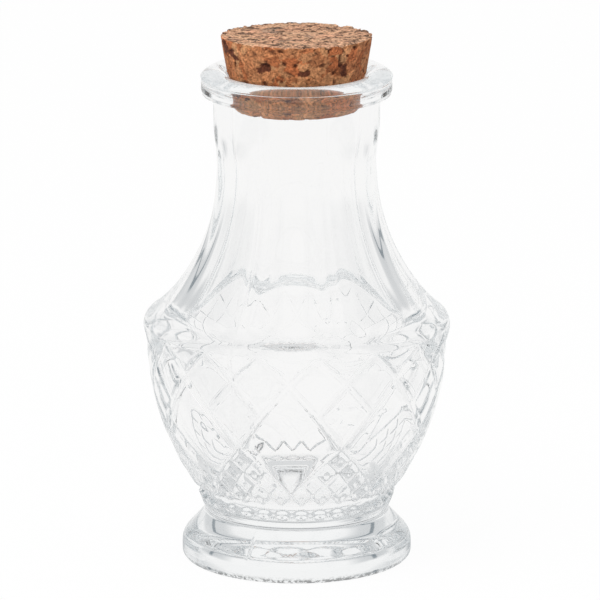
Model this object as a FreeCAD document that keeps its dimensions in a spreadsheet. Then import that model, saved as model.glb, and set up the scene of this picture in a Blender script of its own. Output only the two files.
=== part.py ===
import FreeCAD, Part
import math
import os
import Sketcher

# A pressed-glass jar with a tapered cork stopper.
# Millimetres, +Z up. The origin is the centre of the foot's underside, and one neck panel faces -Y.

sizes = {
    # Foot: a round plinth of solid glass, hollowed a little underneath.
    "foot_diameter": 51.2,
    "foot_side_height": 3.5,
    "foot_lower_round": 1.7,
    "foot_edge_width": 1.0,
    "foot_edge_height": 2.65,
    "foot_slope_height": 5.15,
    "push_up_diameter": 33.0,
    "push_up_depth": 1.2,
    # Waist between the foot and the body.
    "waist_diameter": 41.0,
    "waist_round_depth": 0.4,
    "waist_round_height": 1.05,
    # Body: a short cone for the bead rows, then a bulging side for the diamonds.
    "bead_belt_height": 5.5,
    "bead_belt_diameter": 45.2,
    "diamond_height": 33.2,
    "side_bulge": 2.6,
    # Belt: the rounded shoulder, widest at its crest.
    "belt_diameter": 68.4,
    "belt_lower_step": 0.7,
    "belt_lower_height": 3.6,
    "belt_upper_step": 2.0,
    "belt_upper_height": 2.9,
    # Neck: a flare that runs up into a round neck.
    "flare_height": 33.5,
    "neck_diameter": 37.0,
    "neck_height": 16.1,
    # Panels: flats pressed round the flare. They curve out on to the belt and run out in an arch on the neck.
    "panel_count": 8,
    "panel_foot_height": 3.5,
    "panel_foot_round": 12.4,
    "panel_arch_height": 7.5,
    # Rim and mouth.
    "rim_height": 5.2,
    "rim_overhang": 2.7,
    "rim_upper_round": 1.7,
    "rim_lower_round": 1.2,
    "rim_fillet": 0.7,
    "mouth_diameter": 31.2,
    "mouth_taper_depth": 7.0,
    "mouth_lip_round": 0.8,
    # Inside: a solid floor above the waist, and a wall that follows the outside.
    "floor_height": 15.0,
    "floor_flat_diameter": 26.0,
    "floor_corner_height": 5.5,
    "floor_corner_bulge": 1.3,
    "side_foot_wall": 2.8,
    "side_inner_bulge": 2.6,
    "shoulder_wall": 5.4,
    "shoulder_inner_drop": 5.0,
    "shoulder_inner_height": 11.0,
    "shoulder_inner_step": 3.8,
    "neck_wall": 4.0,
    # Diamond relief: V-shaped mitre grooves pressed into the side.
    "mitre_width": 1.6,
    "mitre_depth": 0.6,
    # Cork stopper: its side runs parallel to the tapered mouth.
    "cork_height": 16.8,
    "cork_insertion": 7.3,
    "cork_clearance": 0.1,
    "cork_top_slant": 1.65,
    "cork_edge_round": 0.5,
    # How far a cut runs past the glass or cork that it takes away.
    "cut_overrun": 1.0,
}

# Levels of the mitre crossings above the bead belt, as shares of the diamond height.
lattice_level_shares = (1.09, 0.925, 0.699, 0.443, 0.265, 0.078)
long_mitre_steps = 5
short_mitre_steps = 2
stations_per_step = 2
diamonds_per_panel = 2

# Distance of a panel from the axis, as a share of the round glass it is pressed into.
panel_flat_share = 0.945

doc = FreeCAD.newDocument("glass_jar_with_cork")
sheet = doc.addObject("Spreadsheet::Sheet", "dims")
for row, (name, value) in enumerate(sizes.items(), start=1):
    sheet.set(f"A{row}", name)
    sheet.set(f"B{row}", str(value))
    sheet.setAlias(f"B{row}", name)
doc.recompute()


def origin_feature(body, role):
    return next(item for item in body.Origin.OriginFeatures if item.Role == role)


def upright_radius(step, rise):
    # An arc that starts upright and leans out by step over rise has this radius.
    return f"(({step})^2 + ({rise})^2) / (2 * ({step}))"


def bulged_radius(step, rise, bulge):
    # An arc that stands bulge proud of its chord has this radius.
    return f"(({step})^2 + ({rise})^2) / (8 * ({bulge})) + ({bulge}) / 2"


def arc_centre(start, end, radius, side):
    chord = end - start
    left = FreeCAD.Vector(-chord.y, chord.x, 0).normalize()
    height = math.sqrt(max(radius ** 2 - chord.Length ** 2 / 4, 0))
    return (start + end) / 2 + left * height * side


def outline_sketch(body, name, corners, plane="XZ_Plane"):
    # A closed outline on an upright plane. Each corner is (distance from the axis, height), or
    # (distance, height, arc radius, side) where an arc leads to the next corner, with its
    # centre to the left (1) or right (-1) of the way along.
    sketch = body.newObject("Sketcher::SketchObject", name)
    sketch.AttachmentSupport = [(origin_feature(body, plane), "")]
    sketch.MapMode = "FlatFace"
    places = []
    for corner in corners:
        across = float(sketch.evalExpression(corner[0]))
        up = float(sketch.evalExpression(corner[1]))
        places.append(FreeCAD.Vector(across, up, 0))
    ends = []
    for index, corner in enumerate(corners):
        start = places[index]
        end = places[(index + 1) % len(corners)]
        if len(corner) == 2:
            piece = sketch.addGeometry(Part.LineSegment(start, end), False)
            ends.append((piece, 1, 2))
            continue
        radius = float(sketch.evalExpression(corner[2]))
        centre = arc_centre(start, end, radius, corner[3])
        circle = Part.Circle(centre, FreeCAD.Vector(0, 0, 1), radius)
        first, last = (start, end) if corner[3] > 0 else (end, start)
        arc = Part.ArcOfCircle(circle, circle.parameter(first), circle.parameter(last))
        piece = sketch.addGeometry(arc, False)
        ends.append((piece, 1, 2) if corner[3] > 0 else (piece, 2, 1))
    for index, corner in enumerate(corners):
        piece, first, last = ends[index]
        next_piece, next_first, _ = ends[(index + 1) % len(corners)]
        sketch.addConstraint(Sketcher.Constraint("Coincident", piece, last, next_piece, next_first))
        for kind, axis, text, value in (
            ("DistanceX", -2, corner[0], places[index].x),
            ("DistanceY", -1, corner[1], places[index].y),
        ):
            if text == "0":
                sketch.addConstraint(Sketcher.Constraint("PointOnObject", piece, first, axis))
                continue
            number = sketch.addConstraint(Sketcher.Constraint(kind, -1, 1, piece, first, value))
            sketch.setExpression(f"Constraints[{number}]", text)
        if len(corner) > 2:
            radius = float(sketch.evalExpression(corner[2]))
            number = sketch.addConstraint(Sketcher.Constraint("Radius", piece, radius))
            sketch.setExpression(f"Constraints[{number}]", corner[2])
    return sketch


def turn(body, name, sketch, kind="PartDesign::Revolution"):
    feature = body.newObject(kind, name)
    feature.Profile = sketch
    feature.ReferenceAxis = (sketch, ["V_Axis"])
    feature.Angle = 360
    return feature


# Heights stacked from the foot's underside to the rim.
foot_top = "dims.foot_side_height + dims.foot_edge_height"
waist = f"{foot_top} + dims.foot_slope_height"
side_start = f"{waist} + dims.bead_belt_height"
side_end = f"{side_start} + dims.diamond_height"
belt_crest = f"{side_end} + dims.belt_lower_height"
flare_start = f"{belt_crest} + dims.belt_upper_height"
neck_start = f"{flare_start} + dims.flare_height"
rim_start = f"{neck_start} + dims.neck_height"
glass_top = f"{rim_start} + dims.rim_height"
mouth_level = f"{glass_top} - dims.mouth_lip_round"

# Radii that more than one outline uses.
foot_radius = "dims.foot_diameter / 2"
waist_radius = "dims.waist_diameter / 2"
belt_radius = "dims.belt_diameter / 2"
side_start_radius = "dims.bead_belt_diameter / 2"
side_end_radius = f"{belt_radius} - dims.belt_lower_step"
flare_radius = f"{belt_radius} - dims.belt_upper_step"
neck_radius = "dims.neck_diameter / 2"
rim_radius = f"{neck_radius} + dims.rim_overhang"
bore_radius = f"{neck_radius} - dims.neck_wall"
mouth_radius = "dims.mouth_diameter / 2"
mouth_slope = f"({mouth_radius} - ({bore_radius})) / dims.mouth_taper_depth"


def jar_outline(body):
    return outline_sketch(body, "jar_outline", [
        ("0", "dims.push_up_depth", upright_radius("dims.push_up_depth", "dims.push_up_diameter / 2"), -1),
        ("dims.push_up_diameter / 2", "0"),
        (f"{foot_radius} - dims.foot_lower_round", "0", "dims.foot_lower_round", 1),
        (foot_radius, "dims.foot_lower_round"),
        (foot_radius, "dims.foot_side_height",
         upright_radius("dims.foot_edge_width", "dims.foot_edge_height"), 1),
        (f"{foot_radius} - dims.foot_edge_width", foot_top),
        (f"{waist_radius} + dims.waist_round_depth", f"{waist} - dims.waist_round_height",
         upright_radius("dims.waist_round_depth", "dims.waist_round_height"), -1),
        (f"{waist_radius} + dims.waist_round_depth", f"{waist} + dims.waist_round_height"),
        (side_start_radius, side_start,
         bulged_radius(f"{side_end_radius} - {side_start_radius}", "dims.diamond_height",
                       "dims.side_bulge"), 1),
        (side_end_radius, side_end, upright_radius("dims.belt_lower_step", "dims.belt_lower_height"), 1),
        (belt_radius, belt_crest, upright_radius("dims.belt_upper_step", "dims.belt_upper_height"), 1),
        (flare_radius, flare_start,
         upright_radius(f"{flare_radius} - {neck_radius}", "dims.flare_height"), -1),
        (neck_radius, neck_start),
        (neck_radius, f"{rim_start} - dims.rim_fillet", "dims.rim_fillet", -1),
        (f"{neck_radius} + dims.rim_fillet", rim_start),
        (f"{rim_radius} - dims.rim_lower_round", rim_start, "dims.rim_lower_round", 1),
        (rim_radius, f"{rim_start} + dims.rim_lower_round"),
        (rim_radius, f"{glass_top} - dims.rim_upper_round", "dims.rim_upper_round", 1),
        (f"{rim_radius} - dims.rim_upper_round", glass_top),
        ("0", glass_top),
    ])


def panel_outline(body):
    # Side view of one panel's cut: a foot that curves out over the belt, a hollow up the flare
    # and a run-out on the neck. The foot and the hollow are tangent where they meet.
    flat = f"{neck_radius} * {panel_flat_share}"
    hollow = upright_radius(f"({flare_radius} - {neck_radius}) * {panel_flat_share}", "dims.flare_height")
    foot = f"{flare_start} + dims.panel_foot_height"
    rise_share = f"((dims.flare_height - dims.panel_foot_height) / ({hollow}))"
    lean_share = f"sqrt(1 - {rise_share}^2)"
    foot_radius_in = f"{flat} + ({hollow}) * (1 - {lean_share})"
    clear = f"{belt_radius} + dims.cut_overrun"
    clear_lean_share = f"({lean_share} - ({clear} - ({foot_radius_in})) / dims.panel_foot_round)"
    foot_drop = f"dims.panel_foot_round * (sqrt(1 - {clear_lean_share}^2) - {rise_share})"
    run_out = upright_radius(f"{neck_radius} - {flat}", "dims.panel_arch_height")
    past_neck = f"{neck_radius} + dims.cut_overrun"
    arch_top = f"{neck_start} + sqrt(({run_out})^2 - ({run_out} - ({past_neck} - {flat}))^2)"
    return outline_sketch(body, "panel_outline", [
        (clear, f"{foot} - {foot_drop}"),
        (clear, arch_top),
        (past_neck, arch_top, run_out, 1),
        (flat, neck_start, hollow, 1),
        (foot_radius_in, foot, "dims.panel_foot_round", 1),
    ])


def cavity_outline(body):
    floor_corner = "dims.floor_height + dims.floor_corner_height"
    floor_flat_radius = "dims.floor_flat_diameter / 2"
    side_foot = f"{side_start_radius} - dims.side_foot_wall"
    side_inner = f"{belt_radius} - dims.shoulder_wall"
    side_inner_end = f"{belt_crest} - dims.shoulder_inner_drop"
    flare_inner = f"{side_inner} - dims.shoulder_inner_step"
    flare_inner_start = f"{side_inner_end} + dims.shoulder_inner_height"
    past_top = f"{glass_top} + dims.cut_overrun"
    return outline_sketch(body, "cavity_outline", [
        ("0", "dims.floor_height"),
        (floor_flat_radius, "dims.floor_height",
         bulged_radius(f"{side_foot} - {floor_flat_radius}", "dims.floor_corner_height",
                       "dims.floor_corner_bulge"), 1),
        (side_foot, floor_corner,
         bulged_radius(f"{side_inner} - ({side_foot})", f"{side_inner_end} - ({floor_corner})",
                       "dims.side_inner_bulge"), 1),
        (side_inner, side_inner_end,
         upright_radius("dims.shoulder_inner_step", "dims.shoulder_inner_height"), 1),
        (flare_inner, flare_inner_start,
         upright_radius(f"{flare_inner} - ({bore_radius})", f"{neck_start} - ({flare_inner_start})"), -1),
        (bore_radius, neck_start),
        (bore_radius, f"{mouth_level} - dims.mouth_taper_depth"),
        (mouth_radius, mouth_level, "dims.mouth_lip_round", -1),
        (f"{mouth_radius} + dims.mouth_lip_round", glass_top),
        (f"{mouth_radius} + dims.mouth_lip_round", past_top),
        ("0", past_top),
    ])


def make_jar_blank():
    # The jar before its diamonds: turned outside, pressed panels and hollow inside.
    body = doc.addObject("PartDesign::Body", "jar_blank")
    outline = jar_outline(body)
    turn(body, "jar_turned", outline)
    pocket = body.newObject("PartDesign::Pocket", "panel_cut")
    pocket.Profile = panel_outline(body)
    pocket.Type = "Length"
    pocket.SideType = "Symmetric"
    pocket.setExpression("Length", "dims.belt_diameter * sin(180deg / dims.panel_count)")
    pattern = body.newObject("PartDesign::PolarPattern", "panel_ring")
    pattern.Originals = [pocket]
    pattern.Axis = (origin_feature(body, "Z_Axis"), [""])
    pattern.Angle = 360
    pattern.setExpression("Occurrences", "dims.panel_count")
    body.Tip = pattern
    doc.recompute()
    body.Tip = turn(body, "cavity", cavity_outline(body), "PartDesign::Groove")
    doc.recompute()
    return body, outline


def outside_radius(outline, height):
    reach = FreeCAD.Vector(sheet.belt_diameter, 0, height)
    level = Part.makeLine(FreeCAD.Vector(0, 0, height), reach)
    return max(pair[0].x for pair in outline.Shape.distToShape(level)[1])


def side_point(outline, angle, height):
    radius = outside_radius(outline, height)
    return FreeCAD.Vector(radius * math.cos(angle), radius * math.sin(angle), height)


def side_normal(outline, angle, height):
    around = FreeCAD.Vector(-math.sin(angle), math.cos(angle), 0)
    below = side_point(outline, angle, height - sheet.mitre_depth)
    above = side_point(outline, angle, height + sheet.mitre_depth)
    return around.cross(above - below).normalize()


def mitre_groove(outline, start_angle, turn_side, steps):
    # One V groove down the side, from a diamond's top corner, leaning one lattice step at a time.
    step_angle = math.pi / (sheet.panel_count * diamonds_per_panel)
    base = float(sheet.evalExpression(side_start.replace("dims.", "")))
    levels = [base + share * sheet.diamond_height for share in lattice_level_shares]
    count = steps * stations_per_step
    route = []
    for station in range(count + 1):
        place = station / stations_per_step
        lower = min(int(place), steps - 1)
        height = levels[lower] + (levels[lower + 1] - levels[lower]) * (place - lower)
        route.append((start_angle + turn_side * step_angle * place, height))
    points = [side_point(outline, angle, height) for angle, height in route]
    above = sheet.cut_overrun
    half_width = sheet.mitre_width / 2 * (sheet.mitre_depth + above) / sheet.mitre_depth
    wires = []
    for station, (angle, height) in enumerate(route):
        normal = side_normal(outline, angle, height)
        along = points[min(station + 1, count)] - points[max(station - 1, 0)]
        across = along.cross(normal).normalize()
        bottom = points[station] - normal * sheet.mitre_depth
        top = points[station] + normal * above
        corners = [bottom, top + across * half_width, top - across * half_width, bottom]
        wires.append(Part.makePolygon(corners))
    return Part.makeLoft(wires, True, True)


def make_grooves(outline):
    # Long mitres frame the large diamonds, and short ones close the two rows above them.
    panel_angle = 2 * math.pi / sheet.panel_count
    step_angle = panel_angle / (2 * diamonds_per_panel)
    first = [
        mitre_groove(outline, -step_angle, 1, long_mitre_steps),
        mitre_groove(outline, step_angle, -1, long_mitre_steps),
        mitre_groove(outline, step_angle, 1, short_mitre_steps),
        mitre_groove(outline, -step_angle, -1, short_mitre_steps),
    ]
    axis = FreeCAD.Vector(0, 0, 1)
    grooves = []
    for number in range(int(sheet.panel_count)):
        for groove in first:
            copy = groove.copy()
            copy.rotate(FreeCAD.Vector(), axis, math.degrees(panel_angle * number))
            grooves.append(copy)
    return grooves


def make_jar():
    blank, outline = make_jar_blank()
    grooves = make_grooves(outline)
    jar = doc.addObject("Part::Feature", "glass_jar")
    jar.Shape = blank.Shape.cut(grooves)
    jar.Label = "glass_jar"
    return jar


def slant_outline(body, top, top_radius):
    # Side view of what is cut off the cork's top, which is highest at the front.
    reach = f"({top_radius} + dims.cut_overrun)"
    fall = f"dims.cork_top_slant / (2 * ({top_radius}))"
    return outline_sketch(body, "slant_outline", [
        (f"-{reach}", f"{top} + {fall} * dims.cut_overrun"),
        (reach, f"{top} - dims.cork_top_slant - {fall} * dims.cut_overrun"),
        (reach, f"{top} + dims.cut_overrun"),
        (f"-{reach}", f"{top} + dims.cut_overrun"),
    ], "YZ_Plane")


def make_cork():
    body = doc.addObject("PartDesign::Body", "cork_stopper")
    bottom = f"{mouth_level} - dims.cork_insertion"
    top = f"{bottom} + dims.cork_height"
    fit_radius = f"{mouth_radius} - dims.cork_clearance"
    bottom_radius = f"{fit_radius} - {mouth_slope} * dims.cork_insertion"
    top_radius = f"{fit_radius} + {mouth_slope} * (dims.cork_height - dims.cork_insertion)"
    turn(body, "cork_turned", outline_sketch(body, "cork_outline", [
        ("0", bottom),
        (bottom_radius, bottom),
        (top_radius, top),
        ("0", top),
    ]))
    slant = body.newObject("PartDesign::Pocket", "cork_slant")
    slant.Profile = slant_outline(body, top, top_radius)
    slant.Type = "Length"
    slant.SideType = "Symmetric"
    slant.setExpression("Length", f"2 * ({top_radius} + dims.cut_overrun)")
    doc.recompute()
    edges = enumerate(slant.Shape.Edges, start=1)
    rims = [f"Edge{number}" for number, edge in edges if edge.isClosed()]
    rounded = body.newObject("PartDesign::Fillet", "cork_edges")
    rounded.Base = (slant, rims)
    rounded.setExpression("Radius", "dims.cork_edge_round")
    body.Tip = rounded
    body.Label = "cork_stopper"
    doc.recompute()
    return body


def failed(item):
    return "Invalid" in item.State or "Error" in item.State


pieces = [make_jar(), make_cork()]
doc.recompute()
for item in doc.Objects:
    if failed(item):
        raise RuntimeError(f"{item.Name} did not build")
os.makedirs("parts", exist_ok=True)
for piece in pieces:
    shape = piece.Shape
    if shape.isNull() or not shape.isValid():
        raise RuntimeError(f"{piece.Label} is not a valid solid")
    volume = round(shape.Volume, 1)
    print(piece.Label, len(shape.Solids), "solid", volume, "cubic mm", len(shape.Faces), "faces")
for piece in pieces:
    piece.Shape.exportStep(f"parts/{piece.Label}.step")
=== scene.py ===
import math
import random
import bmesh
import bpy
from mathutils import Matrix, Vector, kdtree, noise


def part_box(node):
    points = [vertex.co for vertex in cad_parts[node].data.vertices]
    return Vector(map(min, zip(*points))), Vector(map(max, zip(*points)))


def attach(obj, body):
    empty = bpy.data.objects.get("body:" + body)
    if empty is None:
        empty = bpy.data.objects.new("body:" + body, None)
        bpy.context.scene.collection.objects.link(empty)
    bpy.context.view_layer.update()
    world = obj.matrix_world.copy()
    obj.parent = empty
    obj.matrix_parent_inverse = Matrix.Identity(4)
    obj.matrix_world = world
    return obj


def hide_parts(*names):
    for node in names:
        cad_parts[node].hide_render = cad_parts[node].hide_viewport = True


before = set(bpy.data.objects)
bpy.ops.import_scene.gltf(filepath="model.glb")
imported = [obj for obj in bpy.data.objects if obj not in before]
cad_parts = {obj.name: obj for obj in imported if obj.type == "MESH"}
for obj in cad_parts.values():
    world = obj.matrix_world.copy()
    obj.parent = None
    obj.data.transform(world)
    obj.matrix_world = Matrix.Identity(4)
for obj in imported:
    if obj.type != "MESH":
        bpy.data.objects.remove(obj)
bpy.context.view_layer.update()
mm = 0.001
mergeReach = 1e-7
jarLow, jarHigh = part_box("glass_jar")
corkLow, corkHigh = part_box("cork_stopper")
print("frame loaded, jar is", round((jarHigh.z - jarLow.z) / mm, 1), "mm tall")


# helpers for outlines: a point is (radius, height) in millimetres

def arcPoints(start, end, bulge, count):
    # arc from start to end that stands bulge proud of its chord, to the right of the way along
    chord = Vector((end[0] - start[0], end[1] - start[1]))
    right = Vector((chord.y, -chord.x)).normalized()
    radius = chord.length_squared / (8 * abs(bulge)) + abs(bulge) / 2
    side = 1 if bulge > 0 else -1
    centre = Vector(start) + chord / 2 + right * side * (abs(bulge) - radius)
    first = Vector(start) - centre
    sweep = side * 2 * math.asin(min(1, chord.length / (2 * radius)))
    points = []
    for step in range(1, count + 1):
        turn = sweep * step / count
        x = first.x * math.cos(turn) - first.y * math.sin(turn)
        y = first.x * math.sin(turn) + first.y * math.cos(turn)
        points.append((centre.x + x, centre.y + y))
    return points


def uprightBulge(start, end):
    # bulge of an arc that is upright at one end
    across = abs(end[0] - start[0])
    up = abs(end[1] - start[1])
    return math.hypot(across, up) / 2 * math.tan(math.atan2(across, up) / 2)


def levelBulge(start, end):
    # bulge of an arc that is level at one end
    across = abs(end[0] - start[0])
    up = abs(end[1] - start[1])
    return math.hypot(across, up) / 2 * math.tan(math.atan2(up, across) / 2)


def quarterBulge(radius):
    return radius * (1 - math.sqrt(0.5))


def linePoints(start, end, count):
    points = []
    for step in range(1, count + 1):
        x = start[0] + (end[0] - start[0]) * step / count
        y = start[1] + (end[1] - start[1]) * step / count
        points.append((x, y))
    return points


def radiusAt(points, height):
    for low, high in zip(points, points[1:]):
        if low[1] <= height <= high[1]:
            share = (height - low[1]) / max(high[1] - low[1], 1e-9)
            return low[0] + (high[0] - low[0]) * share
    return points[-1][0]


def smoothStep(value, low, high):
    t = min(1, max(0, (value - low) / (high - low)))
    return t * t * (3 - 2 * t)


def softLeast(a, b, blend):
    # the lesser of two, with the corner between them rounded off
    overlap = max(blend - abs(a - b), 0) / blend
    return min(a, b) - overlap ** 2 * blend / 4


# helpers for meshes

def spinOutline(points, steps):
    # turns an outline round the upright axis, starting at the front
    bm = bmesh.new()
    rail = [bm.verts.new((0, -r * mm, z * mm)) for r, z in points]
    for a, b in zip(rail, rail[1:]):
        bm.edges.new((a, b))
    bmesh.ops.spin(bm, geom=bm.verts[:] + bm.edges[:], cent=(0, 0, 0), axis=(0, 0, 1),
                   dvec=(0, 0, 0), angle=2 * math.pi, steps=steps, use_merge=True)
    bmesh.ops.remove_doubles(bm, verts=bm.verts, dist=mergeReach)
    return bm


def linkedObject(bm, name, material):
    mesh = bpy.data.meshes.new(name)
    bm.to_mesh(mesh)
    bm.free()
    mesh.materials.append(material)
    made = bpy.data.objects.new(name, mesh)
    bpy.context.scene.collection.objects.link(made)
    return made


def addPiece(bm, name, material, body, node):
    bmesh.ops.remove_doubles(bm, verts=bm.verts, dist=mergeReach)
    bmesh.ops.recalc_face_normals(bm, faces=bm.faces)
    for face in bm.faces:
        face.smooth = True
    piece = linkedObject(bm, name, material)
    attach(piece, body)
    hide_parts(node)
    print(name, len(piece.data.vertices), "vertices")


# helpers for materials

def newMaterial(name):
    material = bpy.data.materials.new(name)
    material.use_nodes = True
    tree = material.node_tree
    tree.nodes.clear()
    return material, tree, tree.nodes.new("ShaderNodeOutputMaterial")


def objectPlace(tree):
    return tree.nodes.new("ShaderNodeTexCoord").outputs["Object"]


def joined(tree, operation, first, second):
    # a Math node on two sockets or numbers
    node = tree.nodes.new("ShaderNodeMath")
    node.operation = operation
    for socket, value in zip(node.inputs, (first, second)):
        if isinstance(value, (int, float)):
            socket.default_value = value
        else:
            tree.links.new(value, socket)
    return node.outputs["Value"]


def ramped(tree, value, low, high, fromTone, toTone):
    # a factor that goes from one tone to another as the value rises
    node = tree.nodes.new("ShaderNodeMapRange")
    node.interpolation_type = "SMOOTHSTEP"
    limits = (("From Min", low), ("From Max", high), ("To Min", fromTone), ("To Max", toTone))
    for name, number in limits:
        node.inputs[name].default_value = number
    tree.links.new(value, node.inputs["Value"])
    return node.outputs["Result"]


def distance(tree, where):
    # how far a place is from the origin
    node = tree.nodes.new("ShaderNodeVectorMath")
    node.operation = "LENGTH"
    tree.links.new(where, node.inputs[0])
    return node.outputs["Value"]


def upPart(tree, vector):
    node = tree.nodes.new("ShaderNodeSeparateXYZ")
    tree.links.new(vector, node.inputs["Vector"])
    return node.outputs["Z"]


def speckle(tree, where, scale, detail, twist):
    node = tree.nodes.new("ShaderNodeTexNoise")
    node.inputs["Scale"].default_value = scale
    node.inputs["Detail"].default_value = detail
    node.inputs["Distortion"].default_value = twist
    tree.links.new(where, node.inputs["Vector"])
    return node.outputs["Fac"]


def mixedShaders(tree, share, first, second):
    node = tree.nodes.new("ShaderNodeMixShader")
    for socket, source in zip(node.inputs, (share, first, second)):
        tree.links.new(source, socket)
    return node.outputs["Shader"]


# clear pressed glass, with painted contact shade in dark specks along the foot's lower edge, where
# it sits on the table (metres)

glassLook = {
    "ior": 1.5,
    "roughness": 0.0,
    "absorbTint": (0.80, 0.87, 0.90, 1),
    "absorbDensity": 3.6,
    "edgeShadeHeight": (0.0006, 0.0019), "edgeShadeReach": (0.0226, 0.0236),
    "edgeShadeNoise": (1100, 3, 0.5), "edgeShadeShare": (0.41, 0.56), "edgeShadeMost": 0.9,
}


# painted shade: darkens the glass's colour in specks along the foot's lower edge, standing in for
# the contact shadow where the foot sits on the table
def paintedEdgeShade(tree):
    where = objectPlace(tree)
    low = ramped(tree, upPart(tree, where), *glassLook["edgeShadeHeight"], 1.0, 0.0)
    outer = ramped(tree, distance(tree, where), *glassLook["edgeShadeReach"], 0.0, 1.0)
    specks = speckle(tree, where, *glassLook["edgeShadeNoise"])
    edgeShade = ramped(tree, specks, *glassLook["edgeShadeShare"], 0.0, glassLook["edgeShadeMost"])
    edgeShade = joined(tree, "MULTIPLY", edgeShade, joined(tree, "MULTIPLY", low, outer))
    return joined(tree, "SUBTRACT", 1, edgeShade)


def clearGlass():
    material, tree, out = newMaterial("clearGlass")
    glass = tree.nodes.new("ShaderNodeBsdfPrincipled")
    glass.inputs["Roughness"].default_value = glassLook["roughness"]
    glass.inputs["IOR"].default_value = glassLook["ior"]
    glass.inputs["Transmission Weight"].default_value = 1.0
    # the base colour carries the painted contact shade at the foot's edge
    tree.links.new(paintedEdgeShade(tree), glass.inputs["Base Color"])
    depth = tree.nodes.new("ShaderNodeVolumeAbsorption")
    depth.inputs["Color"].default_value = glassLook["absorbTint"]
    depth.inputs["Density"].default_value = glassLook["absorbDensity"]
    tree.links.new(glass.outputs["BSDF"], out.inputs["Surface"])
    tree.links.new(depth.outputs["Volume"], out.inputs["Volume"])
    return material


# the jar: millimetres and degrees, heights from the table

jarShape = {
    "columns": 256,
    "footRadius": 25.6, "footSide": 3.5, "footRound": 1.7, "footEdge": (1.0, 2.65),
    "pushUpRadius": 16.5, "pushUpDepth": 0.25,
    "waist": (20.5, 11.3), "waistRound": (0.4, 1.05),
    "beadTop": (22.6, 16.8), "sideTop": (33.5, 50.0), "sideBulge": 2.6,
    "beltCrest": (34.2, 53.6), "flareFoot": (32.2, 56.5), "neckFoot": (18.5, 90.0),
    "rimFoot": 106.1, "rimRadius": 21.2, "rimSide": 110.0, "rimDome": 1.35,
    "rimLower": 1.2, "rimFillet": 0.7,
    "rimRidge": 0.15, "ridgeHalf": 0.12, "lowRidgeStep": 6,
    "lip": (15.3, 110.1), "mouth": (14.7, 108.9), "mouthFoot": 103.5,
    "boreRadius": 14.5, "floorHeight": 15.0, "floorFlat": 13.0,
    "floorCorner": (19.8, 20.5), "floorBulge": 1.3, "innerBulge": 2.6,
    "sideInner": (28.8, 48.6), "flareInner": (25.0, 59.6),
    "panels": 8, "flatShare": 0.945, "panelFoot": 60.0, "footCurve": 12.4,
    "archHeight": 7.5, "archBlend": 4.0, "archRound": 0.8, "arrisRound": 0.3, "leastRound": 0.01,
    "seamAngle": -22.5, "rimSeamAngle": -15.2, "seamHalf": 0.5, "seamRise": 0.09,
    "stipple": 0.12, "stippleTop": 0.9, "stippleSeed": 3,
    "margin": 0.1, "wallReach": 1.0, "slopeStep": 0.2,
}


def outsideOutline(s):
    # the outside wall from the foot's side up to the rim
    foot = s["footRadius"]
    waist = s["waist"]
    waistIn, waistRise = s["waistRound"]
    points = [(foot, s["footRound"]), (foot, s["footSide"])]
    edgeTop = (foot - s["footEdge"][0], s["footSide"] + s["footEdge"][1])
    points += arcPoints(points[-1], edgeTop, uprightBulge(points[-1], edgeTop), 12)
    points += linePoints(points[-1], (waist[0] + waistIn, waist[1] - waistRise), 6)
    points += arcPoints(points[-1], (waist[0] + waistIn, waist[1] + waistRise), -waistIn, 16)
    points += linePoints(points[-1], s["beadTop"], 6)
    points += arcPoints(points[-1], s["sideTop"], s["sideBulge"], 120)
    points += arcPoints(points[-1], s["beltCrest"], uprightBulge(points[-1], s["beltCrest"]), 30)
    points += arcPoints(points[-1], s["flareFoot"], uprightBulge(points[-1], s["flareFoot"]), 30)
    points += arcPoints(points[-1], s["neckFoot"], -uprightBulge(points[-1], s["neckFoot"]), 120)
    points.append((s["neckFoot"][0], s["rimFoot"] - s["rimFillet"]))
    return points


outside = outsideOutline(jarShape)

# diamond lattice: one unit round is a 32nd of a turn, one row down is the next level of crossings
latticeShape = {
    "unitsRound": 32, "ringsPerRow": 8,
    "levels": (53.6, 47.5, 40.0, 31.5, 25.6, 19.4, 13.6),
    "smallRows": 2, "largeMiddle": 3, "hobnailRows": 5, "hobnailFoot": 5.5,
    "mitreHalf": 0.15, "mitreDepth": 0.65,
    "pillowDepth": 0.3, "largeEdge": 0.7, "largeDepth": 0.25,
    "hobnailDepth": 0.5, "hobnailPower": 5, "dimple": 0.2,
    "recess": 1.1, "beadMiddle": 14.5, "beadHalf": 0.95, "beadEdge": 0.35,
}


def latticeRow(height):
    levels = latticeShape["levels"]
    for row in range(len(levels) - 1):
        if levels[row + 1] <= height <= levels[row]:
            return row + (levels[row] - height) / (levels[row] - levels[row + 1])
    return -1 if height > levels[0] else len(levels)


def nearestLine(value, offset, spacing):
    t = (value - offset) / spacing
    return abs(t - round(t)) * spacing


def dome(a, b, power=2):
    return (1 - (1 - a) ** power) * (1 - (1 - b) ** power)


def hobnail(a, b):
    # a flat-topped button with a small dimple in its middle
    s = latticeShape
    button = s["hobnailDepth"] * (1 - dome(a, b, s["hobnailPower"]))
    return button + s["dimple"] * max(0, min(a, b) * 4 - 3)


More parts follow.
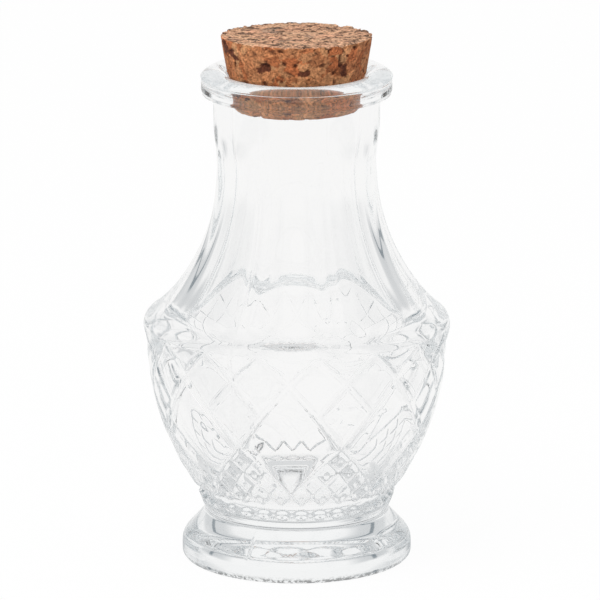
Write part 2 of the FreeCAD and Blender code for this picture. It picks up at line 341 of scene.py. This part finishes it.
def latticeDepth(unitRound, row):
    # how far the pressed pattern lies under the turned outside
    s = latticeShape
    if row > s["hobnailRows"]:
        right = (unitRound - row) % 1
        left = (unitRound + row) % 1
        crossed = math.floor(unitRound + row) - math.floor(unitRound - row)
        if crossed != 2 * s["hobnailRows"]:
            return s["recess"]
        return hobnail(2 * min(right, 1 - right), 2 * min(left, 1 - left))
    fromMiddle = abs(unitRound % 4 - 2)
    below = row - s["largeMiddle"]
    if row <= s["smallRows"]:
        right = nearestLine(unitRound - row, 1, 2)
        left = nearestLine(unitRound + row, 1, 2)
        swell = s["pillowDepth"] * (1 - dome(right, left))
    elif fromMiddle < below:
        right = nearestLine(unitRound - row, 0, 1)
        left = nearestLine(unitRound + row, 0, 1)
        return hobnail(2 * right, 2 * left)
    else:
        right = nearestLine(unitRound - row, 3, 4)
        left = nearestLine(unitRound + row, 1, 4)
        if fromMiddle < -below:
            swell = s["pillowDepth"] * (1 - dome(min(1, right), min(1, left)))
        else:
            swell = s["largeDepth"] * (1 - smoothStep(min(right, left), 0, s["largeEdge"]))
    groove = s["mitreDepth"] * max(0, 1 - min(right, left) / s["mitreHalf"])
    return swell + groove


def beadDepth(unitRound, height):
    # a ring of almond-shaped beads in the recess under the hobnails
    s = latticeShape
    up = abs(height - s["beadMiddle"]) / s["beadHalf"]
    if up > 1 and height < s["beadMiddle"]:
        return 0
    across = abs(unitRound % 1 - 0.5) * 2
    swell = 1 - across ** 2 - up
    dimple = s["dimple"] * max(0, 1 - 4 * across - 2 * up)
    return s["recess"] * (1 - smoothStep(swell, 0, s["beadEdge"])) + dimple


def patternDepth(angle, height):
    unitRound = angle / (2 * math.pi / latticeShape["unitsRound"])
    row = latticeRow(height)
    waistTop = jarShape["waist"][1] + jarShape["waistRound"][1]
    if 0 <= row <= latticeShape["hobnailFoot"]:
        return latticeDepth(unitRound, row)
    if waistTop < height < latticeShape["levels"][latticeShape["hobnailRows"]]:
        return beadDepth(unitRound, height)
    return 0


def panelRadius(height):
    # distance from the axis to the middle of a flat panel
    s = jarShape
    share = s["flatShare"]
    flare, neck = s["flareFoot"], s["neckFoot"]
    flat = neck[0] * share
    step = (flare[0] - neck[0]) * share
    rise = neck[1] - flare[1]
    if height < neck[1]:
        hollow = (step ** 2 + rise ** 2) / (2 * step)
        base = max(height, s["panelFoot"])
        lean = (neck[1] - base) / hollow
        radius = flat + hollow * (1 - math.sqrt(1 - lean ** 2))
        footLean = min(lean + (base - height) / s["footCurve"], 1)
        return radius + s["footCurve"] * (math.sqrt(1 - lean ** 2) - math.sqrt(1 - footLean ** 2))
    gap = neck[0] - flat
    runOut = (gap ** 2 + s["archHeight"] ** 2) / (2 * gap)
    up = min(height - neck[1], runOut)
    return flat + runOut - math.sqrt(runOut ** 2 - up ** 2)


def panelledWall(angle, height, wall):
    # the neck's wall where the flat panels cut into it
    s = jarShape
    panelAngle = 2 * math.pi / s["panels"]
    fromPanel = abs((angle + panelAngle / 2) % panelAngle - panelAngle / 2)
    flat = panelRadius(height) / math.cos(fromPanel)
    archFoot = s["neckFoot"][1] - s["archBlend"]
    if height > archFoot:
        blend = s["archRound"] * smoothStep(height, archFoot, s["neckFoot"][1]) + s["leastRound"]
    else:
        blend = s["arrisRound"]
    return softLeast(wall, flat, blend)


def outsideRows(s):
    # heights of the rings on the outside wall, close together where the pattern is
    levels = latticeShape["levels"]
    rings = latticeShape["ringsPerRow"]
    beadFoot = latticeShape["beadMiddle"] - latticeShape["beadHalf"]
    beadTop = latticeShape["beadMiddle"] + latticeShape["beadHalf"]
    hobnailLow = (levels[5] + levels[6]) / 2
    footTop = s["footSide"] + s["footEdge"][1]
    waistLow = s["waist"][1] - s["waistRound"][1]
    waistTop = s["waist"][1] + s["waistRound"][1]
    archTop = s["neckFoot"][1] + s["archHeight"] + 1
    rows = []
    for low, high, count in (
        (s["footRound"], s["footSide"], 3),
        (s["footSide"], footTop, 5),
        (footTop, waistLow, 5),
        (waistLow, waistTop, 8),
        (waistTop, beadFoot, 2),
        (beadFoot, beadTop, 10),
        (beadTop, hobnailLow, 2),
        (hobnailLow, levels[5], 5),
        (levels[5], levels[4], rings),
        (levels[4], levels[3], rings),
        (levels[3], levels[2], rings),
        (levels[2], levels[1], rings),
        (levels[1], levels[0], rings),
        (levels[0], s["beltCrest"][1], 2),
        (s["beltCrest"][1], s["panelFoot"], 14),
        (s["panelFoot"], s["neckFoot"][1], 30),
        (s["neckFoot"][1], archTop, 12),
        (archTop, s["rimFoot"] - s["rimFillet"], 3),
    ):
        rows += [low + (high - low) * i / count for i in range(1, count + 1)]
    return rows


def jarOutline(s):
    # whole section: under the foot, up the outside, over the rim, down the inside to the floor
    foot, rim = s["footRadius"], s["rimRadius"]
    points = [(0, s["pushUpDepth"])]
    ringIn = (s["pushUpRadius"], 0)
    points += arcPoints(points[-1], ringIn, -levelBulge(points[-1], ringIn), 8)
    points += linePoints(points[-1], (foot - s["footRound"], 0), 2)
    points += arcPoints(points[-1], (foot, s["footRound"]), quarterBulge(s["footRound"]), 10)
    points += [(radiusAt(outside, z), z) for z in outsideRows(s)]
    neck = points[-1][0]
    rimIn = (neck + s["rimFillet"], s["rimFoot"])
    points += arcPoints(points[-1], rimIn, -quarterBulge(s["rimFillet"]), 6)
    points += linePoints(points[-1], (rim - s["rimLower"], s["rimFoot"]), 1)
    rimEdge = (rim, s["rimFoot"] + s["rimLower"])
    lowerRim = arcPoints(points[-1], rimEdge, quarterBulge(s["rimLower"]), 16)
    r, z = lowerRim[s["lowRidgeStep"]]
    lowerRim[s["lowRidgeStep"]] = (r + s["rimRidge"], z - s["rimRidge"])  # lower parting line
    points += lowerRim
    points += linePoints(points[-1], (rim, s["rimSide"] - s["ridgeHalf"]), 3)
    points.append((rim + s["rimRidge"], s["rimSide"]))  # upper parting line
    points.append((rim, s["rimSide"] + s["ridgeHalf"]))
    points += arcPoints(points[-1], s["lip"], s["rimDome"], 24)
    points += arcPoints(points[-1], s["mouth"], uprightBulge(points[-1], s["mouth"]), 6)
    points += linePoints(points[-1], (s["boreRadius"], s["mouthFoot"]), 4)
    points += linePoints(points[-1], (s["boreRadius"], s["neckFoot"][1]), 5)
    points += arcPoints(points[-1], s["flareInner"], uprightBulge(points[-1], s["flareInner"]), 30)
    points += arcPoints(points[-1], s["sideInner"], -uprightBulge(points[-1], s["sideInner"]), 14)
    points += arcPoints(points[-1], s["floorCorner"], -s["innerBulge"], 26)
    points += arcPoints(points[-1], (s["floorFlat"], s["floorHeight"]), -s["floorBulge"], 10)
    points += linePoints(points[-1], (0, s["floorHeight"]), 2)
    return points


def seamRise(angle, seam):
    away = abs((math.degrees(angle) - seam + 90) % 180 - 90)
    return jarShape["seamRise"] if away < jarShape["seamHalf"] / 2 else 0


def cutSeams(bm):
    # cuts down the middle and both sides of the mould seams, front and back
    for seam in (jarShape["seamAngle"], jarShape["rimSeamAngle"]):
        for side in (-1, 0, 1):
            angle = math.radians(seam + side * jarShape["seamHalf"])
            across = Vector((math.cos(angle), math.sin(angle), 0))
            bmesh.ops.bisect_plane(bm, geom=bm.verts[:] + bm.edges[:] + bm.faces[:], dist=1e-6,
                                   plane_co=(0, 0, 0), plane_no=across)


def raiseRimSeam(bm):
    # the upright seam of the rim's own mould, on its side only
    s = jarShape
    low = s["rimFoot"] + s["rimLower"] - s["margin"]
    high = s["rimSide"] + s["margin"] / 2
    for vert in bm.verts:
        x, y, z = vert.co / mm
        if low < z < high and math.hypot(x, y) > s["rimRadius"] - s["margin"]:
            rise = seamRise(math.atan2(x, -y), s["rimSeamAngle"])
            vert.co += Vector((x, y, 0)).normalized() * rise * mm


def stippleFoot(bm):
    # fine dents round the foot's lower edge
    s = jarShape
    scatter = random.Random(s["stippleSeed"])
    edge = s["footRadius"] - s["footRound"] + s["margin"]
    for vert in bm.verts:
        radius = math.hypot(vert.co.x, vert.co.y) / mm
        if vert.co.z < s["stippleTop"] * mm and radius > edge:
            inward = Vector((-vert.co.x, -vert.co.y, 0)).normalized()
            vert.co += inward * scatter.random() ** 2 * s["stipple"] * mm


def pressPattern(bm):
    # moves the outside wall in to its panels, diamonds, hobnails and beads
    s = jarShape
    near = s["slopeStep"]
    for vert in bm.verts:
        x, y, z = vert.co / mm
        if not s["footRound"] < z < s["rimFoot"] - s["rimFillet"]:
            continue
        wall = radiusAt(outside, z)
        if math.hypot(x, y) < wall - s["wallReach"]:
            continue
        angle = math.atan2(x, -y)
        if z > s["beltCrest"][1]:
            radius = panelledWall(angle, z, wall)
        else:
            depth = patternDepth(angle, z)
            slope = (radiusAt(outside, z + near) - radiusAt(outside, z - near)) / (2 * near)
            lean = math.hypot(1, slope)
            radius = wall - depth / lean
            z += depth * slope / lean
        radius += seamRise(angle, s["seamAngle"])
        vert.co = Vector((math.sin(angle) * radius, -math.cos(angle) * radius, z)) * mm


def isPatterned(face):
    middle = face.calc_center_median() / mm
    patternLow = latticeShape["beadMiddle"] - latticeShape["beadHalf"]
    if not patternLow < middle.z < latticeShape["levels"][0]:
        return False
    return math.hypot(middle.x, middle.y) > radiusAt(outside, middle.z) - jarShape["wallReach"]


def makeJar():
    bm = spinOutline(jarOutline(jarShape), jarShape["columns"])
    bmesh.ops.poke(bm, faces=[face for face in bm.faces if isPatterned(face)])
    cutSeams(bm)
    stippleFoot(bm)
    raiseRimSeam(bm)
    pressPattern(bm)
    addPiece(bm, "pressedJar", clearGlass(), "jar", "glass_jar")


# ground cork: millimetres, with its tones as plain colour values

corkShape = {
    "columns": 320, "sideRows": 56, "topRings": 46, "edgeRings": 4,
    "bottomRadius": 14.2, "worn": (1.1, 1.3),
    "neck": ((14.5, 108.9), (15.45, 111.3)), "slant": 1.65,
    "ragged": 1.1, "chipReach": 1.8, "chipScales": (0.5, 1.6), "chipShare": 0.6,
    # painted light on the cork inside the glass mouth
    "paintedMouthLight": 1.3, "near": 0.01,
}
corkGrain = {
    "seed": 7, "granule": 2.7, "aside": 2, "beyond": 3,
    "toneRange": (0.78, 1.15), "barkShare": 0.07, "sawnLitShare": 0.5,
    "warps": ((0.3, 1.3), (0.9, 0.6), (2.4, 0.25)),
    "crack": 0.3, "gape": (0.7, (4, 1, 8), -0.15, 0.45),
    "pit": (0.6, (9, 3, 5), 0.46, 0.6),
    "topSpeck": (1.9, (0, 0, 0), 0.3, 0.65), "sideSpeck": (2.3, (0, 0, 0), 0.52, 0.65),
    "streak": (1.6, 1.6, 0.9), "streakMost": 0.28,
    "shades": {"crack": 0.9, "pit": 0.85, "speck": 0.75},
    "depths": {"crack": 0.2, "pit": 0.4, "speck": 0.12, "granule": 0.1},
}
corkTones = {
    "pale": (0.68, 0.34, 0.16), "tan": (0.57, 0.22, 0.09), "red": (0.50, 0.15, 0.055),
    # sawnLitTop is the sawn top's own paler tone with painted light from above mixed in
    "bark": (0.13, 0.04, 0.02), "creviceShade": (0.06, 0.018, 0.01), "sawnLitTop": (0.86, 0.58, 0.40),
}
corkLook = {
    "roughness": 0.85, "specular": 0.25, "bump": 0.6, "bumpDepth": 0.0003,
    "grain": (1500, 4, 0), "mottle": (0.3, 0.7, 0.68, 1.28),
    "streaks": (520, 3, 3.5), "streaky": (0.34, 0.56, 0.68, 1.1),
    "pits": (520, 3, 1.2), "pitted": (0.4, 0.5, 0.78, 0.0), "facesUp": (0.5, 0.8),
}


def corkShade(tree):
    # fine mottle and streaks all over, and pits on the sawn top darkened with painted shade
    where = objectPlace(tree)
    facing = tree.nodes.new("ShaderNodeNewGeometry").outputs["True Normal"]
    onTop = ramped(tree, upPart(tree, facing), *corkLook["facesUp"], 0.0, 1.0)
    mottle = ramped(tree, speckle(tree, where, *corkLook["grain"]), *corkLook["mottle"])
    streaky = ramped(tree, speckle(tree, where, *corkLook["streaks"]), *corkLook["streaky"])
    pits = ramped(tree, speckle(tree, where, *corkLook["pits"]), *corkLook["pitted"])
    pitted = joined(tree, "MULTIPLY", pits, onTop)
    mottled = joined(tree, "MULTIPLY", mottle, streaky)
    return joined(tree, "MULTIPLY", mottled, joined(tree, "SUBTRACT", 1, pitted))


def corkMaterial():
    material, tree, out = newMaterial("groundCork")
    body = tree.nodes.new("ShaderNodeBsdfPrincipled")
    body.inputs["Roughness"].default_value = corkLook["roughness"]
    body.inputs["Specular IOR Level"].default_value = corkLook["specular"]
    tone = tree.nodes.new("ShaderNodeVertexColor")
    tone.layer_name = "granuleTone"
    shade = corkShade(tree)
    paint = tree.nodes.new("ShaderNodeMix")
    paint.data_type = "RGBA"
    paint.blend_type = "MULTIPLY"
    paint.inputs["Factor"].default_value = 1.0
    bump = tree.nodes.new("ShaderNodeBump")
    bump.inputs["Strength"].default_value = corkLook["bump"]
    bump.inputs["Distance"].default_value = corkLook["bumpDepth"]
    tree.links.new(tone.outputs["Color"], paint.inputs["A"])
    tree.links.new(shade, paint.inputs["B"])
    tree.links.new(paint.outputs["Result"], body.inputs["Base Color"])
    tree.links.new(shade, bump.inputs["Height"])
    tree.links.new(bump.outputs["Normal"], body.inputs["Normal"])
    tree.links.new(body.outputs["BSDF"], out.inputs["Surface"])
    return material


def corkGranules():
    # seeds of the pressed granules, each with its own tone
    g = corkGrain
    random.seed(g["seed"])
    noise.seed_set(g["seed"])  # noise vectors follow the clock without it
    reach = (corkHigh.x - corkLow.x) / 2 / mm + g["aside"]
    low, high = corkLow.z / mm - g["beyond"], corkHigh.z / mm + g["beyond"]
    tones = {name: Vector(tone) for name, tone in corkTones.items()}
    seeds = []
    for _ in range(int((2 * reach) ** 2 * (high - low) / g["granule"] ** 3)):
        x = random.uniform(-reach, reach)
        y = random.uniform(-reach, reach)
        place = Vector((x, y, random.uniform(low, high)))
        tone = tones["pale"].lerp(tones["tan"], random.random())
        tone = tone.lerp(tones["red"], random.random() ** 2)
        tone *= random.uniform(*g["toneRange"])
        if random.random() < g["barkShare"]:
            tone = tones["bark"].copy()
        seeds.append((place, tone, random.random()))
    tree = kdtree.KDTree(len(seeds))
    for number, (place, _, _) in enumerate(seeds):
        tree.insert(place, number)
    tree.balance()
    return seeds, tree


def patchAt(place, scale, offset, low, high):
    # how much of a scattered mark there is at one place
    return smoothStep(noise.noise(place * scale + Vector(offset)), low, high)


def corkFinish(place, seeds, tree, onTop):
    # tone and depth of the cork at one place
    g = corkGrain
    shades, depths = g["shades"], g["depths"]
    warp = Vector((0, 0, 0))
    for scale, reach in g["warps"]:
        warp += noise.noise_vector(place * scale) * reach
    (_, first, near), (_, _, far) = tree.find_n(place + warp, 2)
    _, tone, chance = seeds[first]
    crack = 1 - smoothStep(far - near, 0, g["crack"] * (0.5 + chance))
    crack *= patchAt(place, *g["gape"])
    pit = patchAt(place, *g["pit"])
    speck = patchAt(place, *g["topSpeck" if onTop else "sideSpeck"])
    stretched = Vector([part * scale for part, scale in zip(place, g["streak"])])
    tone = tone * (1 + g["streakMost"] * noise.noise(stretched + warp))
    # partly the sawn top's own paler tone and partly painted light: the top is lightened for the
    # light that falls on it from above
    if onTop:
        tone = tone.lerp(Vector(corkTones["sawnLitTop"]), g["sawnLitShare"])
    # painted shade: cracks, pits and specks are darkened towards the crevice tone, on top of the
    # depth they are given below
    shade = max(crack * shades["crack"], pit * shades["pit"], speck * shades["speck"])
    tone = tone.lerp(Vector(corkTones["creviceShade"]), shade)
    depth = crack * depths["crack"] + pit * depths["pit"] + speck * depths["speck"]
    return tone, depth + chance * depths["granule"]


def corkOutline(s, low, high, topRadius):
    wornIn, wornUp = s["worn"]
    squeezed, swollen = s["neck"]
    points = [(0, low)] + linePoints((0, low), (s["bottomRadius"] - wornIn, low), s["topRings"])
    points += linePoints(points[-1], (s["bottomRadius"], low + wornUp), s["edgeRings"])
    points += linePoints(points[-1], squeezed, s["sideRows"] // 3)
    points += linePoints(points[-1], swollen, s["edgeRings"])
    points += linePoints(points[-1], (topRadius, high), s["sideRows"] * 2 // 3)
    points += linePoints(points[-1], (0, high), s["topRings"])
    return points


def makeCork():
    s = corkShape
    low, high = corkLow.z / mm, corkHigh.z / mm
    topRadius = (corkHigh.x - corkLow.x) / 2 / mm
    bottomEdge = s["bottomRadius"] - s["worn"][0]
    squeezed, swollen = s["neck"]
    coarse, fine = s["chipScales"]
    chipReach = s["chipReach"]
    bm = spinOutline(corkOutline(s, low, high, topRadius), s["columns"])
    seeds, tree = corkGranules()
    paint = bm.verts.layers.float_color.new("granuleTone")
    for vert in bm.verts:
        place = vert.co / mm
        away = math.hypot(place.x, place.y)
        onTop, onBottom = place.z > high - s["near"], place.z < low + s["near"]
        edge = away > (topRadius if onTop else bottomEdge) - s["near"]
        tone, depth = corkFinish(place, seeds, tree, onTop and not edge)
        # painted light: the cork below the rim's top, seen through the glass mouth, is brightened to
        # make up for the glass's shadow on it
        tone *= 1 + (s["paintedMouthLight"] - 1) * (1 - smoothStep(place.z, squeezed[1], swollen[1]))
        vert[paint] = (tone.x, tone.y, tone.z, 1)
        rough = noise.noise(place * coarse) + s["chipShare"] * noise.noise(place * fine)
        chip = s["ragged"] * max(0, rough)
        nearTop = smoothStep(away, topRadius - chipReach, topRadius)
        nearTop *= smoothStep(place.z, high - chipReach, high)
        drop = s["slant"] * (place.y + topRadius) / (2 * topRadius) * smoothStep(place.z, low, high)
        if edge or not (onTop or onBottom):
            place -= Vector((place.x, place.y, 0)).normalized() * depth
        place -= Vector((place.x, place.y, 0)) / topRadius * chip * nearTop
        place.z -= drop + chip * nearTop
        if onTop:
            place.z -= depth
        if onBottom:
            place.z += depth + (chip if edge else 0)
        vert.co = place * mm
    addPiece(bm, "groundCork", corkMaterial(), "stopper", "cork_stopper")


makeJar()
makeCork()


# studio in metres: pale floor, soft white surroundings, camera as in the photograph

cameraView = {
    "azimuth": 3.0, "elevation": 14.5, "distance": 1.8, "sensor": 36,
    "lookHeight": 0.0587, "lookAside": 0.00074, "frameWidth": 0.1337,
}
studio = {
    "back": (1.0, 1.0, 1.0, 1), "card": (0.935, 0.932, 0.928, 1), "dim": (0.15, 0.19, 0.22, 1),
    "ambient": 0.6,
    "gaps": ((0, 0.95), (0.17, 0.9), (0.29, 0.1), (0.44, 0), (0.50, 0.32), (0.59, 0.4),
             (0.60, 0.9), (0.62, 0.9), (0.63, 0.4), (0.70, 0.32), (0.77, 0), (1, 0)),
    "gapFoot": (-0.14, -0.02), "upper": (0.65, 0.98), "upperMost": 0.1,
    "floorRadius": 1.2, "floorTone": (0.9, 0.9, 0.9, 1), "floorWhite": 0.97, "discSides": 96,
    "shade": ((0.019, 0.026), (0.034, 0.058)), "shadeMost": 0.34, "shadeDrop": 0.0005,
    "key": 7.0, "keySize": 0.6, "keyPlace": (-0.3, -0.4, 1.0), "keyAim": (0, 0, 0.06),
    "bounces": 48, "glossyBounces": 24,
}


def makeCamera():
    s = cameraView
    turn, tilt = math.radians(s["azimuth"]), math.radians(s["elevation"])
    level = math.cos(tilt)
    back = Vector((math.sin(turn) * level, -math.cos(turn) * level, math.sin(tilt)))
    aside = Vector((math.cos(turn), math.sin(turn), 0)) * s["lookAside"]
    target = Vector((0, 0, s["lookHeight"])) + aside
    data = bpy.data.cameras.new("photoCamera")
    data.sensor_width = s["sensor"]
    data.lens = data.sensor_width * s["distance"] / s["frameWidth"]
    camera = bpy.data.objects.new("photoCamera", data)
    camera.location = target + back * s["distance"]
    camera.rotation_euler = (-back).to_track_quat("-Z", "Y").to_euler()
    bpy.context.scene.collection.objects.link(camera)
    bpy.context.scene.camera = camera


def skyTone(tree, strength):
    node = tree.nodes.new("ShaderNodeBackground")
    node.inputs["Color"].default_value = studio["back"]
    node.inputs["Strength"].default_value = strength
    return node


def gapRamp(tree, place):
    # how dark the surroundings are: 0 is straight to the side, 1 straight in front or behind
    node = tree.nodes.new("ShaderNodeValToRGB")
    stops = node.color_ramp.elements
    for position, _ in studio["gaps"][1:-1]:
        stops.new(position)
    for stop, (position, shade) in zip(stops, studio["gaps"]):
        stop.position = position
        stop.color = (shade, shade, shade, 1)
    tree.links.new(place, node.inputs["Fac"])
    return node.outputs["Color"]


def makeWorld():
    # white where the camera looks; the glass sees a white table and backdrop with dim gaps beside it
    world = bpy.data.worlds.new("studio")
    bpy.context.scene.world = world
    world.use_nodes = True
    tree = world.node_tree
    tree.nodes.clear()
    out = tree.nodes.new("ShaderNodeOutputWorld")
    where = tree.nodes.new("ShaderNodeTexCoord").outputs["Generated"]
    angle = tree.nodes.new("ShaderNodeTexGradient")
    angle.gradient_type = "RADIAL"
    tree.links.new(where, angle.inputs["Vector"])
    height = upPart(tree, where)
    fold = joined(tree, "PINGPONG", joined(tree, "MULTIPLY", angle.outputs["Fac"], 4), 1)
    aboveTable = ramped(tree, height, *studio["gapFoot"], 0.0, 1.0)
    beside = joined(tree, "MULTIPLY", gapRamp(tree, fold), aboveTable)
    upper = ramped(tree, height, *studio["upper"], 0.0, studio["upperMost"])
    tones = tree.nodes.new("ShaderNodeMix")
    tones.data_type = "RGBA"
    tones.inputs["A"].default_value = studio["card"]
    tones.inputs["B"].default_value = studio["dim"]
    tree.links.new(joined(tree, "MAXIMUM", beside, upper), tones.inputs["Factor"])
    glassSees = skyTone(tree, 1.0)
    tree.links.new(tones.outputs["Result"], glassSees.inputs["Color"])
    path = tree.nodes.new("ShaderNodeLightPath").outputs
    throughGlass = joined(tree, "MAXIMUM", path["Is Glossy Ray"], path["Is Transmission Ray"])
    ambient = skyTone(tree, studio["ambient"]).outputs["Background"]
    white = skyTone(tree, 1.0).outputs["Background"]
    others = mixedShaders(tree, throughGlass, ambient, glassSees.outputs["Background"])
    seen = mixedShaders(tree, path["Is Camera Ray"], others, white)
    tree.links.new(seen, out.inputs["Surface"])


def makeDisc(name, radius, material):
    bm = bmesh.new()
    bmesh.ops.create_circle(bm, cap_ends=True, segments=studio["discSides"], radius=radius)
    return linkedObject(bm, name, material)


def paleFloor():
    material, tree, out = newMaterial("paleFloor")
    paper = tree.nodes.new("ShaderNodeBsdfDiffuse")
    paper.inputs["Color"].default_value = studio["floorTone"]
    glow = tree.nodes.new("ShaderNodeEmission")
    glow.inputs["Color"].default_value = studio["back"]
    glow.inputs["Strength"].default_value = 1.0
    byCamera = tree.nodes.new("ShaderNodeLightPath").outputs["Is Camera Ray"]
    share = joined(tree, "MULTIPLY", byCamera, studio["floorWhite"])
    mixed = mixedShaders(tree, share, paper.outputs["BSDF"], glow.outputs["Emission"])
    tree.links.new(mixed, out.inputs["Surface"])
    return material


def makeFloor():
    floor = makeDisc("floor", studio["floorRadius"], paleFloor())
    floor.visible_transmission = False
    floor.visible_glossy = False


def shadeMaterial():
    material, tree, out = newMaterial("tableShade")
    inner, outer = studio["shade"]
    clear = tree.nodes.new("ShaderNodeBsdfTransparent")
    dark = tree.nodes.new("ShaderNodeEmission")
    dark.inputs["Color"].default_value = studio["dim"]
    away = distance(tree, objectPlace(tree))
    rise = ramped(tree, away, *inner, 0.0, studio["shadeMost"])
    fall = ramped(tree, away, *outer, 1.0, 0.0)
    share = joined(tree, "MULTIPLY", rise, fall)
    mixed = mixedShaders(tree, share, clear.outputs["BSDF"], dark.outputs["Emission"])
    tree.links.new(mixed, out.inputs["Surface"])
    return material


def makeShade():
    # the jar's own shadow on the table, as it shows through the glass
    disc = makeDisc("tableShade", studio["shade"][1][1], shadeMaterial())
    disc.location.z = -studio["shadeDrop"]
    disc.visible_camera = False
    disc.visible_diffuse = False
    disc.visible_shadow = False


def makeLamp():
    data = bpy.data.lights.new("keyLamp", "AREA")
    data.size = studio["keySize"]
    data.energy = studio["key"]
    lamp = bpy.data.objects.new("keyLamp", data)
    place = Vector(studio["keyPlace"])
    lamp.location = place
    lamp.rotation_euler = (Vector(studio["keyAim"]) - place).to_track_quat("-Z", "Y").to_euler()
    lamp.visible_glossy = False
    lamp.visible_transmission = False
    bpy.context.scene.collection.objects.link(lamp)


makeCamera()
makeWorld()
makeFloor()
makeShade()
makeLamp()
bpy.context.scene.view_settings.view_transform = "Standard"
bpy.context.scene.cycles.max_bounces = studio["bounces"]
bpy.context.scene.cycles.transmission_bounces = studio["bounces"]
bpy.context.scene.cycles.glossy_bounces = studio["glossyBounces"]
print("studio ready")
